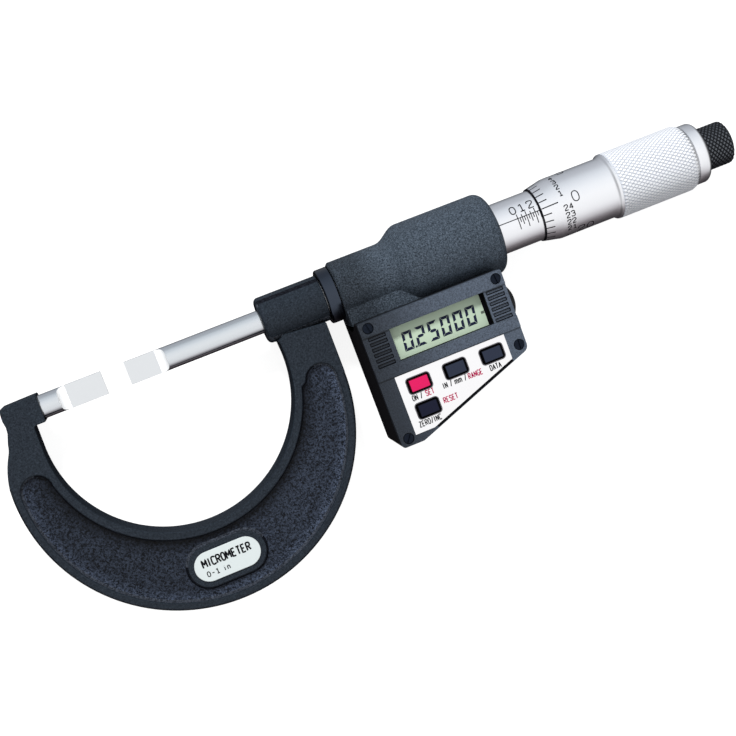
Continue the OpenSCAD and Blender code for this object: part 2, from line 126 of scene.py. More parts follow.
def color_ramp(nodes, links, fac, stops):
    """A colour ramp fed by fac; stops are (position, value or colour) pairs."""
    node = nodes.new("ShaderNodeValToRGB")
    elements = node.color_ramp.elements
    while len(elements) < len(stops):
        elements.new(0.5)
    for element, (position, value) in zip(elements, stops):
        element.position = position
        element.color = (*value, 1) if hasattr(value, "__len__") else (value,) * 3 + (1,)
    links.new(fac, node.inputs["Fac"])
    return node.outputs["Color"]


class Graph:
    """A material with one Principled shader, and short calls for the nodes that feed it."""

    def __init__(self, name, color, roughness, metallic=0.0, **sockets):
        self.material = bpy.data.materials.new(name)
        self.material.use_nodes = True
        self.nodes = self.material.node_tree.nodes
        self.links = self.material.node_tree.links
        self.shader = next(n for n in self.nodes if n.type == "BSDF_PRINCIPLED")
        self.set("Base Color", (*color, 1))
        self.set("Roughness", roughness)
        self.set("Metallic", metallic)
        for key, value in sockets.items():
            self.set(key.replace("_", " "), value)
        self.material.diffuse_color = (*color, 1)
        self.place = self.nodes.new("ShaderNodeTexCoord").outputs["Object"]

    def set(self, socket, value):
        self.shader.inputs[socket].default_value = value

    def link(self, out, socket):
        self.links.new(out, self.shader.inputs[socket])

    def mapped(self, scale):
        """Object coordinates stretched by scale, a 3-vector in features per millimetre."""
        node = self.nodes.new("ShaderNodeMapping")
        node.inputs["Scale"].default_value = [s / MM for s in scale]
        self.links.new(self.place, node.inputs["Vector"])
        return node.outputs["Vector"]

    def noise(self, scale, detail=3.0, rough=0.55, distortion=0.0):
        node = self.nodes.new("ShaderNodeTexNoise")
        node.inputs["Scale"].default_value = 1
        node.inputs["Detail"].default_value = detail
        node.inputs["Roughness"].default_value = rough
        node.inputs["Distortion"].default_value = distortion
        scale = scale if hasattr(scale, "__len__") else (scale,) * 3
        self.links.new(self.mapped(scale), node.inputs["Vector"])
        return node.outputs["Fac"]

    def ramp(self, fac, stops):
        return color_ramp(self.nodes, self.links, fac, stops)

    def math(self, operation, a, b):
        node = self.nodes.new("ShaderNodeMath")
        node.operation = operation
        for socket, value in zip(node.inputs, (a, b)):
            if isinstance(value, (int, float)):
                socket.default_value = value
            else:
                self.links.new(value, socket)
        return node.outputs[0]

    def toned(self, color, distance, start, stop, tone, ease):
        """The colour times tone where distance is start mm, rising to the colour itself at stop."""
        spread = self.nodes.new("ShaderNodeMapRange")
        spread.interpolation_type = ease
        for socket, value in zip(spread.inputs[1:5], (start * MM, stop * MM, tone, 1)):
            socket.default_value = value
        self.links.new(distance, spread.inputs[0])
        scaled = self.nodes.new("ShaderNodeVectorMath")
        scaled.operation = "SCALE"
        self.links.new(color, scaled.inputs[0])
        self.links.new(spread.outputs[0], scaled.inputs["Scale"])
        return scaled.outputs["Vector"]

    def faded(self, color, start, stop, tone):
        """The colour times tone at X = start, rising smoothly to the colour itself at X = stop."""
        split = self.nodes.new("ShaderNodeSeparateXYZ")
        self.links.new(self.place, split.inputs[0])
        return self.toned(color, split.outputs["X"], start, stop, tone, "SMOOTHSTEP")

    def ringed(self, color, middle, start, stop, tone):
        """The colour times tone at start mm from the Z line through middle, itself at stop mm."""
        shift = self.nodes.new("ShaderNodeVectorMath")
        shift.operation = "SUBTRACT"
        self.links.new(self.place, shift.inputs[0])
        shift.inputs[1].default_value = (middle.x * MM, middle.y * MM, 0)
        flat = self.nodes.new("ShaderNodeVectorMath")
        flat.operation = "MULTIPLY"
        self.links.new(shift.outputs[0], flat.inputs[0])
        flat.inputs[1].default_value = (1, 1, 0)
        length = self.nodes.new("ShaderNodeVectorMath")
        length.operation = "LENGTH"
        self.links.new(flat.outputs[0], length.inputs[0])
        return self.toned(color, length.outputs["Value"], start, stop, tone, "LINEAR")

    def bump(self, height, depth):
        """depth is the height in millimetres of a texture that goes from 0 to 1."""
        node = self.nodes.new("ShaderNodeBump")
        node.inputs["Strength"].default_value = 1.0
        node.inputs["Distance"].default_value = depth * MM
        self.links.new(height, node.inputs["Height"])
        return node.outputs["Normal"]


def cast_paint(name, grain, lift, dark, pale, gloss, shine, spread=0.12, along=None, rings=()):
    """Wrinkled enamel: grain in features per mm, lift its height in mm, spread how soft the step
    from dark to pale is. along holds faded()'s arguments for a tone that changes along X, rings
    those of ringed(), one row for each ring."""
    g = Graph(name, pale, gloss, Specular_IOR_Level=shine)
    wrinkle = g.noise(grain, 5, 0.62, 0.6)
    speck = g.noise(grain * 2.4, 3, 0.6)
    tone = g.math("ADD", g.math("MULTIPLY", wrinkle, 0.6), g.math("MULTIPLY", speck, 0.4))
    middle = [a * 0.6 + b * 0.4 for a, b in zip(dark, pale)]
    color = g.ramp(tone, [(0.5 - spread, dark), (0.5, middle), (0.5 + spread, pale)])
    for ring in rings:
        color = g.ringed(color, *ring)
    g.link(color if along is None else g.faded(color, *along), "Base Color")
    g.link(g.ramp(wrinkle, [(0.35, gloss + 0.15), (0.65, gloss - 0.08)]), "Roughness")
    g.link(g.bump(tone, lift), "Normal")
    return g.material


def turned_metal(name, color, rough, ring=9.0, lift=0.0002, spread=0.04, metallic=1.0):
    """Metal with faint turning marks round the X axis."""
    g = Graph(name, color, rough, metallic)
    rings = g.noise((ring, 0.03, 0.03), 3, 0.7)
    cloud = g.noise(0.25, 3)
    mix = g.math("ADD", g.math("MULTIPLY", rings, 0.7), g.math("MULTIPLY", cloud, 0.3))
    g.link(g.ramp(mix, [(0.3, rough - spread), (0.7, rough + spread)]), "Roughness")
    low = [c * 0.97 for c in color]
    g.link(g.ramp(mix, [(0.3, low), (0.65, color)]), "Base Color")
    g.link(g.bump(rings, lift), "Normal")
    return g.material


def plain_steel(name, color, rough):
    g = Graph(name, color, rough, 1.0)
    cloud = g.noise(1.5, 4)
    g.link(g.ramp(cloud, [(0.3, [c * 0.85 for c in color]), (0.7, color)]), "Base Color")
    g.link(g.ramp(cloud, [(0.3, rough + 0.1), (0.7, rough - 0.05)]), "Roughness")
    g.link(g.bump(g.noise(12, 2), 0.002), "Normal")
    return g.material


def moulded(name, color, rough, grain=7.0, lift=0.006, vary=0.85, shine=0.5, along=None):
    """Moulded plastic or film with a fine spark-eroded grain; vary is the tone of its hollows,
    along as in cast_paint."""
    g = Graph(name, color, rough, Specular_IOR_Level=shine)
    fine = g.noise(grain, 3, 0.6)
    tone = g.ramp(fine, [(0.36, [c * vary for c in color]), (0.6, color)])
    g.link(tone if along is None else g.faded(tone, *along), "Base Color")
    g.link(g.ramp(fine, [(0.3, rough + 0.07), (0.7, rough - 0.05)]), "Roughness")
    g.link(g.bump(fine, lift), "Normal")
    return g.material


def display_film():
    g = Graph("display_film", (0.33, 0.41, 0.32), 0.4, Specular_IOR_Level=0.2)
    cloud = g.noise(0.08, 2)
    g.link(g.ramp(cloud, [(0.35, (0.32, 0.4, 0.31)), (0.65, (0.35, 0.43, 0.33))]), "Base Color")
    g.link(g.bump(g.noise(20, 2), 0.0008), "Normal")
    return g.material


def floor_white():
    g = Graph("floor_white", (0.25, 0.25, 0.25), 0.8, Emission_Color=(1, 1, 1, 1),
        Emission_Strength=0.86)
    cloud = g.noise(0.004, 2)
    g.link(g.ramp(cloud, [(0.3, (0.24, 0.24, 0.24)), (0.7, (0.26, 0.26, 0.26))]), "Base Color")
    return g.material


# painted light on the pocket's floor along its outer edge and painted shade along its inner one
POCKET_PAINTED_LIGHT_AND_SHADE = ((OUTER_MIDDLE, 42.9, 40.6, 1.9), (THROAT_MIDDLE, 35.8, 40, 0.2))

MATERIALS = {
    "rim_paint": cast_paint("rim_paint", 2.4, 0.08, (0.004, 0.006, 0.009), (0.02, 0.027, 0.037),
        0.45, 0.12),
    "pocket_paint": cast_paint("pocket_paint", 2, 0.8, (0.001, 0.0015, 0.003),
        (0.038, 0.049, 0.074), 0.34, 0.2, 0.06, (-25, 38, 0.72), POCKET_PAINTED_LIGHT_AND_SHADE),
    # pocket_lit and pocket_shade are lighter and darker copies of the pocket paint: painted light
    # on the pocket's outer wall, painted shade on its inner wall
    "pocket_lit": cast_paint("pocket_lit", 2.2, 0.7, (0.003, 0.004, 0.007), (0.062, 0.073, 0.095),
        0.34, 0.3, 0.07),
    "pocket_shade": cast_paint("pocket_shade", 1.5, 0.4, (0.001, 0.001, 0.002),
        (0.009, 0.011, 0.016), 0.5, 0.05),
    "housing_paint": cast_paint("housing_paint", 2.7, 0.3, (0.006, 0.009, 0.013),
        (0.075, 0.097, 0.126), 0.42, 0.16, 0.1, (70, 79, 0.5)),
    "ground_steel": turned_metal("ground_steel", (0.66, 0.69, 0.72), 0.14, 14, 0.0001, 0.03),
    "blade_white": turned_metal("blade_white", (0.72, 0.74, 0.76), 0.3, 6, 0.0002, 0.03),
    "blade_shoulder": turned_metal("blade_shoulder", (0.8, 0.81, 0.82), 0.4, 6, 0.0002, 0.03, 0.1),
    "satin_chrome": turned_metal("satin_chrome", (0.87, 0.88, 0.91), 0.32, 10, 0.0001, 0.02),
    "knurl_chrome": turned_metal("knurl_chrome", (0.66, 0.67, 0.69), 0.5, 8, 0.0001, 0.03, 0.1),
    # a darker copy of knurl_chrome: painted shade in the knurl's grooves
    "knurl_groove_shade": turned_metal("knurl_groove_shade", (0.44, 0.46, 0.5), 0.5, 8, 0.0001, 0.03, 0.1),
    "black_gloss": turned_metal("black_gloss", (0.045, 0.055, 0.075), 0.22, 8, 0.0002, 0.03),
    "black_knurl": turned_metal("black_knurl", (0.115, 0.125, 0.14), 0.42, 8, 0.0002, 0.03),
    # a darker copy of black_knurl: painted shade in the knob knurl's grooves
    "black_groove_shade": moulded("black_groove_shade", (0.014, 0.015, 0.018), 0.6, 7, 0.004, 0.8, 0.1),
    "steel": plain_steel("steel", (0.6, 0.61, 0.63), 0.35),
    "screw_steel": plain_steel("screw_steel", (0.013, 0.017, 0.027), 0.4),
    "brass": plain_steel("brass", (0.75, 0.58, 0.28), 0.35),
    # the slate is painted darker at the cover's left end and lighter towards the thimble end: a
    # painted sheen
    "slate": moulded("slate", (0.066, 0.083, 0.112), 0.34, 3.6, 0.03, 0.45, 0.15, (64, 92, 0.28)),
    "case_black": moulded("case_black", (0.005, 0.005, 0.006), 0.45, 4, 0.02, 0.7, 0.2),
    # grey for the painted shade of the label's cut edge round the keys
    "rim_grey_shade": moulded("rim_grey_shade", (0.09, 0.085, 0.095), 0.5, 8, 0.002, 0.9, 0.1),
    # black for painted shade in the recesses, on the key sides and along shaded edges
    "recess_painted_shade": moulded("recess_painted_shade", (0.002, 0.002, 0.003), 0.6, 6, 0.004, 0.8, 0.05),
    "label_white": moulded("label_white", (0.57, 0.565, 0.57), 0.5, 6, 0.002, 0.99, 0.2),
    "badge_white": moulded("badge_white", (0.47, 0.51, 0.51), 0.5, 6, 0.002, 0.98, 0.2),
    "red_key": moulded("red_key", (0.5, 0.008, 0.08), 0.45, 8, 0.004, 0.9, 0.1),
    # a darker copy of the red key: painted shade on its sides
    "red_key_painted_shade": moulded("red_key_painted_shade", (0.06, 0.003, 0.008), 0.5, 8, 0.004, 0.9, 0.1),
    "dark_key": moulded("dark_key", (0.015, 0.02, 0.037), 0.42, 8, 0.005, 0.8, 0.15),
    "darker_key": moulded("darker_key", (0.006, 0.007, 0.019), 0.42, 8, 0.005, 0.8, 0.1),
    "board_green": moulded("board_green", (0.03, 0.2, 0.09), 0.4),
    "pale_plastic": moulded("pale_plastic", (0.5, 0.5, 0.47), 0.5),
    "ink_black": moulded("ink_black", (0.004, 0.004, 0.006), 0.6, 10, 0.001, 0.8, 0.1),
    "ink_red": moulded("ink_red", (0.34, 0.004, 0.06), 0.6, 10, 0.001, 0.8, 0.1),
    "segment_dark": moulded("segment_dark", (0.008, 0.011, 0.03), 0.5, 10, 0.001, 0.8, 0.1),
    # black for the printed marks, and for painted shade in the ring at the thimble's front edge
    "mark_and_shade_black": moulded("mark_and_shade_black", (0.004, 0.004, 0.006), 0.6, 10, 0.001, 0.8, 0.1),
    "display_film": display_film(),
    "display_grey": moulded("display_grey", (0.06, 0.075, 0.06), 0.5, 10, 0.001),
}

# ---------------------------------------------------------------- mesh helpers


def new_piece(name, mesh, body, materials, replaced=(), smooth=None):
    """A finished mesh as a piece that rides on a body; smooth is the crease angle in degrees."""
    mesh.name = name
    piece = bpy.data.objects.new(name, mesh)
    bpy.context.scene.collection.objects.link(piece)
    for key in materials:
        mesh.materials.append(MATERIALS[key])
    if smooth is not None:
        mesh.polygons.foreach_set("use_smooth", [True] * len(mesh.polygons))
        mesh.set_sharp_from_angle(angle=math.radians(smooth))
    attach(piece, body)
    if replaced:
        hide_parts(*replaced)
    return piece


def to_mesh(bm):
    """Ends a bmesh built in millimetres as a mesh in metres."""
    bmesh.ops.recalc_face_normals(bm, faces=bm.faces)
    bmesh.ops.scale(bm, vec=(MM,) * 3, verts=bm.verts)
    mesh = bpy.data.meshes.new("mesh")
    bm.to_mesh(mesh)
    bm.free()
    return mesh


def cad_copy(node, plain):
    """A welded copy of a CAD node's mesh as a bmesh in millimetres. Its triangles are joined up
    into flat faces but for those where plain(point) holds."""
    bm = bmesh.new()
    bm.from_mesh(frame["nodes"][node].data)
    bmesh.ops.scale(bm, vec=(1 / MM,) * 3, verts=bm.verts)
    bmesh.ops.remove_doubles(bm, verts=bm.verts, dist=0.0005)
    verts = [v for v in bm.verts if not plain(v.co)]
    edges = [e for e in bm.edges if not all(plain(v.co) for v in e.verts)]
    bmesh.ops.dissolve_limit(bm, angle_limit=math.radians(0.5), verts=verts, edges=edges)
    return bm


def nowhere(point):
    return False


def soften(bm, width, segments, angle, only, clamp):
    """Rounds the edges sharper than angle; only picks some of them by their middle point."""
    limit = math.radians(angle)
    edges = []
    for e in bm.edges:
        if len(e.link_faces) == 2 and e.calc_face_angle(0) > limit:
            if only((e.verts[0].co + e.verts[1].co) / 2):
                edges.append(e)
    if edges and width > 0:
        bmesh.ops.bevel(bm, geom=edges, offset=width, segments=segments, profile=0.5,
            affect="EDGES", clamp_overlap=clamp, loop_slide=False)


def body_of(node):
    return next(b for b, nodes in frame["record"]["behaviour"]["bodies"].items() if node in nodes)


def slot_of(node):
    return next(s["material_slot"] for s in frame["record"]["subparts"] if s["node"] == node)


def finish_node(node, name, materials, width=0.15, segments=2, angle=32, pick=None, first=(),
        clamp=True, plain=nowhere):
    """Replaces a CAD node by its own shape with rounded edges. pick(face) gives a material index;
    first has (width, segments, test of an edge's middle) for edges that get a rounding of their
    own; clamp keeps roundings from meeting; edges where plain(point) holds stay sharp."""
    bm = cad_copy(node, plain)
    for own_width, own_segments, test in first:
        soften(bm, own_width, own_segments, angle, test, clamp)
    soften(bm, width, segments, angle, lambda p: not plain(p), clamp)
    if pick is not None:
        bm.normal_update()
        for face in bm.faces:
            face.material_index = pick(face)
    piece = new_piece(name, to_mesh(bm), body_of(node), materials, (node,), 38)
    even = piece.modifiers.new("even_normals", "WEIGHTED_NORMAL")
    even.keep_sharp = True
    even.weight = 80
    return piece


def revolve(name, profile, body, materials, replaced=(), steps=128, smooth=30):
    """A ring-shaped solid about X from a closed profile of (x, radius) points."""
    bm = bmesh.new()
    rings = []
    for i in range(steps):
        a = 2 * math.pi * i / steps
        rings.append([bm.verts.new((x, r * math.sin(a), r * math.cos(a))) for x, r in profile])
    count = len(profile)
    for i in range(steps):
        here, there = rings[i], rings[(i + 1) % steps]
        for j in range(count):
            k = (j + 1) % count
            bm.faces.new((here[j], there[j], there[k], here[k]))
    return new_piece(name, to_mesh(bm), body, materials, replaced, smooth)


def arc(cx, cy, r, start, end, steps=6):
    """Points of an arc in an outline or a profile, where the second number is the radius; angles
    in degrees from the first axis towards the second."""
    out = []
    for i in range(steps + 1):
        a = math.radians(start + (end - start) * i / steps)
        out.append((cx + r * math.cos(a), cy + r * math.sin(a)))
    return out


# ---------------------------------------------------------------- knurling


def knurl(name, x0, x1, r, around, lead, depth, body, materials, land=0.5, shape=None):
    """A band of diamond points cut round X, their tops and the grooves in two materials, the
    grooves' a darker copy as painted shade.
    A diamond is lead long and there are around of them in a row; land is how much of it its
    top takes; shape(x) is the radius along the band."""
    columns = max(2, round((x1 - x0) / lead))
    step = (x1 - x0) / columns
    bm = bmesh.new()
    verts = {}

    def point(i, j, height):
        key = (round(i * 100), round(j * 100) % (around * 100), height)
        if key not in verts:
            x = x0 + i * step
            a = 2 * math.pi * j / around
            rr = (r if shape is None else shape(x)) - (0 if height else depth)
            verts[key] = bm.verts.new((x, rr * math.sin(a), rr * math.cos(a)))
        return verts[key]

    def diamond(i, j):
        corners = [(i + 0.5, j), (i, j + 0.5), (i - 0.5, j), (i, j - 0.5)]
        low = [point(a, b, 0) for a, b in corners]
        top = [point(i + (a - i) * land, j + (b - j) * land, 1) for a, b in corners]
        for k in range(4):
            n = (k + 1) % 4
            bm.faces.new((low[k], low[n], top[n], top[k])).material_index = 1
        bm.faces.new(top)

    for i in range(columns):
        for j in range(around):
            diamond(i + 0.5, j)
            if i + 1 < columns:
                diamond(i + 1, j + 0.5)
    for i in (0, columns):
        for j in range(around):
            s = 0.5 if i == 0 else -0.5
            corners = (point(i, j, 0), point(i + s, j + 0.5, 0), point(i, j + 1, 0))
            bm.faces.new(corners).material_index = 1
    edge = [e for e in bm.edges if e.is_boundary]
    inner = bmesh.ops.extrude_edge_only(bm, edges=edge)["geom"]
    inner_r = r - 0.9
    for v in (g for g in inner if isinstance(g, bmesh.types.BMVert)):
        k = inner_r / math.hypot(v.co.y, v.co.z)
        v.co.y *= k
        v.co.z *= k
    loops = [e for e in bm.edges if e.is_boundary]
    bmesh.ops.bridge_loops(bm, edges=loops)
    return new_piece(name, to_mesh(bm), body, materials)


# ---------------------------------------------------------------- engraved lines and legends

# Single-stroke capitals and figures 1 high and mostly 0.6 wide: (kind, points). "round" and "loop"
# strokes are smoothed, and a "loop" is closed.
GLYPHS = {
    "0": [("loop", [(0, 0), (0, 1), (0.6, 1), (0.6, 0)])],
    "1": [("line", [(0.08, 0.8), (0.34, 1), (0.34, 0)]), ("line", [(0.08, 0), (0.6, 0)])],
    "2": [("round", [(0, 0.72), (0, 1), (0.6, 1), (0.6, 0.6), (0.2, 0.35), (0, 0)]),
        ("line", [(0, 0), (0.6, 0)])],
    "3": [("round", [(0, 0.85), (0.1, 1), (0.6, 1), (0.6, 0.54), (0.2, 0.53)]),
        ("round", [(0.2, 0.53), (0.62, 0.53), (0.62, 0), (0.05, 0), (0, 0.18)])],
    "4": [("line", [(0.45, 0), (0.45, 1), (0, 0.3), (0.62, 0.3)])],
    "5": [("line", [(0.55, 1), (0.1, 1), (0.05, 0.55)]),
        ("round", [(0.05, 0.55), (0.3, 0.7), (0.62, 0.6), (0.62, 0), (0.05, 0), (0, 0.15)])],
    "6": [("round", [(0.5, 1), (0.1, 0.9), (0, 0.5), (0, 0), (0.6, 0), (0.6, 0.58), (0.1, 0.6),
        (0.02, 0.35)])],
    "7": [("line", [(0, 1), (0.6, 1), (0.22, 0)])],
    "8": [("loop", [(0.05, 0.53), (0.05, 1), (0.55, 1), (0.55, 0.53)]),
        ("loop", [(0, 0), (0, 0.53), (0.6, 0.53), (0.6, 0)])],
    "9": [("round", [(0.1, 0), (0.5, 0.1), (0.6, 0.5), (0.6, 1), (0, 1), (0, 0.42), (0.5, 0.4),
        (0.58, 0.65)])],
    "-": [("line", [(0.08, 0.48), (0.52, 0.48)])],
    "/": [("line", [(0.05, -0.05), (0.5, 1.05)])],
    "A": [("line", [(0, 0), (0.3, 1), (0.6, 0)]), ("line", [(0.1, 0.35), (0.5, 0.35)])],
    "C": [("round", [(0.6, 0.85), (0.55, 1), (0, 1), (0, 0), (0.55, 0), (0.6, 0.15)])],
    "D": [("line", [(0, 0), (0, 1)]), ("round", [(0, 1), (0.6, 1), (0.6, 0), (0, 0)])],
    "E": [("line", [(0.55, 1), (0, 1), (0, 0), (0.55, 0)]), ("line", [(0, 0.52), (0.45, 0.52)])],
    "G": [("round", [(0.6, 0.85), (0.55, 1), (0, 1), (0, 0), (0.6, 0), (0.6, 0.45)]),
        ("line", [(0.35, 0.45), (0.6, 0.45)])],
    "I": [("line", [(0.17, 0), (0.17, 1)])],
    "M": [("line", [(0, 0), (0, 1), (0.36, 0.35), (0.72, 1), (0.72, 0)])],
    "N": [("line", [(0, 0), (0, 1), (0.6, 0), (0.6, 1)])],
    "O": [("loop", [(0, 0), (0, 1), (0.62, 1), (0.62, 0)])],
    "R": [("line", [(0, 0), (0, 1)]), ("round", [(0, 1), (0.6, 1), (0.6, 0.5), (0, 0.5)]),
        ("line", [(0.28, 0.5), (0.6, 0)])],
    "S": [("round", [(0.57, 0.82), (0.5, 1), (0, 1), (0, 0.55), (0.6, 0.5), (0.6, 0), (0.08, 0),
        (0, 0.18)])],
    "T": [("line", [(0, 1), (0.6, 1)]), ("line", [(0.3, 1), (0.3, 0)])],
    "Z": [("line", [(0, 1), (0.58, 1), (0, 0), (0.6, 0)])],
    "m": [("line", [(0, 0), (0, 0.7)]), ("round", [(0, 0.5), (0.1, 0.74), (0.43, 0.72), (0.43, 0)]),
        ("round", [(0.43, 0.5), (0.53, 0.74), (0.86, 0.72), (0.86, 0)])],
    "i": [("line", [(0.2, 0), (0.2, 0.66)]), ("line", [(0.2, 0.88), (0.2, 0.93)])],
    "n": [("line", [(0.05, 0), (0.05, 0.66)]),
        ("round", [(0.05, 0.45), (0.12, 0.7), (0.5, 0.72), (0.5, 0)])],
}
# widths of the characters that aren't 0.6 wide
WIDTHS = {"I": 0.38, "i": 0.4, "1": 0.62, " ": 0.3, "/": 0.55, "M": 0.74, "m": 0.88}


def smoothed(points, closed, rounds=3):
    """Corner cutting: an open line keeps its two ends."""
    for _ in range(rounds):
        out = []
        ends = points[1:] + points[:1] if closed else points[1:]
        pairs = list(zip(points, ends))
        for (ax, ay), (bx, by) in pairs:
            out.append((ax * 0.75 + bx * 0.25, ay * 0.75 + by * 0.25))
            out.append((ax * 0.25 + bx * 0.75, ay * 0.25 + by * 0.75))
        if not closed:
            out[0], out[-1] = points[0], points[-1]
        points = out
    return points


def text_strokes(text, height, place=(0, 0), align=0.5, stretch=1.0, gap=0.26):
    """A line of text as strokes, (points, closed); place is where align sits on the baseline."""
    widths = [WIDTHS.get(c, 0.6) + gap for c in text]
    x = -align * (sum(widths) - gap)
    out = []
    for c, w in zip(text, widths):
        for kind, points in GLYPHS.get(c, []):
            if kind != "line":
                points = smoothed(points, kind == "loop")
            moved = [(place[0] + (x + px) * height * stretch, place[1] + py * height)
                for px, py in points]
            out.append((moved, kind == "loop"))
        x += w
    return out


def fine(points, closed, step):
    """The same line with no stretch longer than step, and closed up if it is a loop."""
    if closed:
        points = points + points[:1]
    out = [points[0]]
    for a, b in zip(points, points[1:]):
        n = max(1, math.ceil(math.dist(a, b) / step))
        out += [(a[0] + (b[0] - a[0]) * k / n, a[1] + (b[1] - a[1]) * k / n)
            for k in range(1, n + 1)]
    return out


def add_stroke(bm, points, closed, width, thick, lay, step):
    """One closed ribbon along points; lay(u, v, height) puts a flat point on the surface."""
    line = fine(points, closed, step)
    rows = []
    last = len(line) - 1
    for i, (u, v) in enumerate(line):
        a = line[last - 1] if closed and i == 0 else line[max(0, i - 1)]
        b = line[1] if closed and i == last else line[min(last, i + 1)]
        length = max(math.dist(a, b), 1e-9)
        nx, ny = -(b[1] - a[1]) / length * width / 2, (b[0] - a[0]) / length * width / 2
        rows.append([bm.verts.new(lay(u + nx * s, v + ny * s, h))
            for s, h in ((1, -thick), (1, thick), (-1, thick), (-1, -thick))])
    if closed:
        rows[-1] = rows[0]
    for p, q in zip(rows, rows[1:]):
        for k in range(4):
            m = (k + 1) % 4
            bm.faces.new((p[k], q[k], q[m], p[m]))
    if not closed:
        bm.faces.new(rows[0])
        bm.faces.new(rows[-1][::-1])


def stroke_piece(name, strokes, width, lay, body, material, thick=0.02, step=0.3):
    """Many strokes as one piece; a stroke may carry its own width as a third item."""
    bm = bmesh.new()
    for stroke in strokes:
        own = stroke[2] if len(stroke) > 2 else width
        add_stroke(bm, stroke[0], stroke[1], own, thick, lay, step)
    bmesh.ops.remove_doubles(bm, verts=bm.verts, dist=0.0001)
    return new_piece(name, to_mesh(bm), body, (material,))


def flat_at(z):
    return lambda u, v, h: (u, v, z + h)


def round_at(radius, turn):
    """Wraps (u, v): u is X, v runs round the axis from turn (degrees from +Z towards +Y)."""
    def lay(u, v, h):
        r = radius(u) + h if callable(radius) else radius + h
        a = math.radians(turn) + v / (r - h)
        return (u, r * math.sin(a), r * math.cos(a))
    return lay


# ---------------------------------------------------------------- frame and housing

# heights above the middle plane of the pocket's floor and of its wall's upper edge
POCKET_FLOOR = 3.2
POCKET_EDGE = 4.42


def frame_part(face):
    """0 the rim, 1 the sunk floor of the frame's two faces, 2 its outer and 3 its inner wall."""
    c, n = face.calc_center_median(), face.normal
    z, rise = abs(c.z), abs(n.z)
    rounding = POCKET_FLOOR - 0.3 < z < POCKET_EDGE and 0.02 < rise < 0.9
    wall = POCKET_FLOOR + 0.1 < z < POCKET_EDGE and rise < 0.5
    if rounding or wall:
        return 2 if n.xy.dot(c.xy - OUTER_MIDDLE) < 0 else 3
    return int(abs(z - POCKET_FLOOR) < 0.35)


def on_pocket_floor(p):
    return abs(abs(p.z) - POCKET_FLOOR) < 0.02


def on_outer_edge(p):
    return abs(p.z) > 4.2 and (p.xy - OUTER_MIDDLE).length > 45 and p.y < -18


def build_body():
    paints = ("rim_paint", "pocket_paint", "pocket_lit", "pocket_shade")
    finish_node("frame", "frame_casting", paints, 0.35, 3, pick=frame_part,
        first=((0.85, 4, on_pocket_floor), (0.9, 3, on_outer_edge)), clamp=False)
    finish_node("housing", "housing_casting", ("housing_paint",), 0.7, 3)
    finish_node("guide_barrel", "guide_barrel_turned", ("steel",), 0.1)
    build_lock_ring()
    build_badge()


def build_lock_ring():
    low, high = span("lock_ring")
    x0, x1, r = low.x, high.x, high.z
    bore, left, right = 5.28, 0.55, 0.35
    profile = [(x0, bore), (x0, r - left)] + arc(x0 + left, r - left, left, 180, 90)
    profile += arc(x1 - right, r - right, right, 90, 0) + [(x1, bore)]
    revolve("lock_ring_turned", profile, "lock_body", ("black_gloss",),
        ("lock_ring",), 160)


def build_badge():
    low, high = BADGE
    middle = (low + high) / 2
    finish_node("frame_badge", "badge_plate", ("badge_white",), 0.12)
    lay = flat_at(high.z)
    strokes = text_strokes("MICROMETER", 2.1, (middle.x, middle.y + 0.1), stretch=0.74, gap=0.28)
    stroke_piece("badge_title", strokes, 0.44, lay, "frame_body", "ink_black")
    small = text_strokes("0-1 in", 1.3, (middle.x - 3.2, middle.y - 2.5), gap=0.35)
    stroke_piece("badge_range", small, 0.26, lay, "frame_body", "ink_black")


# ---------------------------------------------------------------- blades and rods

# lengths of the ground flats from the anvil's and from the spindle's face
ANVIL_FLAT = 13
SPINDLE_FLAT = 12


def steel_or_blade(tip, length):
    """Material index 1 on the ground flats of a blade that runs length from its tip, 2 on its
    shoulders."""
    def pick(face):
        c = face.calc_center_median()
        away = abs(c.x - tip)
        if away > length + 2.5 or math.hypot(c.y, c.z) > 3.15:
            return 0
        if abs(face.normal.x) > 0.1 and away > length - 4:
            return 2
        return int(away < length)
    return pick


def build_rods():
    steels = ("ground_steel", "blade_white", "blade_shoulder")
    finish_node("anvil", "anvil_blade", steels, 0.05, angle=30, pick=steel_or_blade(0, ANVIL_FLAT))
    finish_node("spindle", "spindle_blade", steels, 0.05, angle=30,
        pick=steel_or_blade(SPINDLE[0].x, SPINDLE_FLAT))


# ---------------------------------------------------------------- sleeve and thimble

# degrees from +Z to the sleeve's long line, and X of the sleeve's line for 0
INDEX_TURN = 10
SCALE_ZERO = 117.02
SLEEVE_LINES = 41
THIMBLE_LINES = 25
PLAIN_R = 8.5


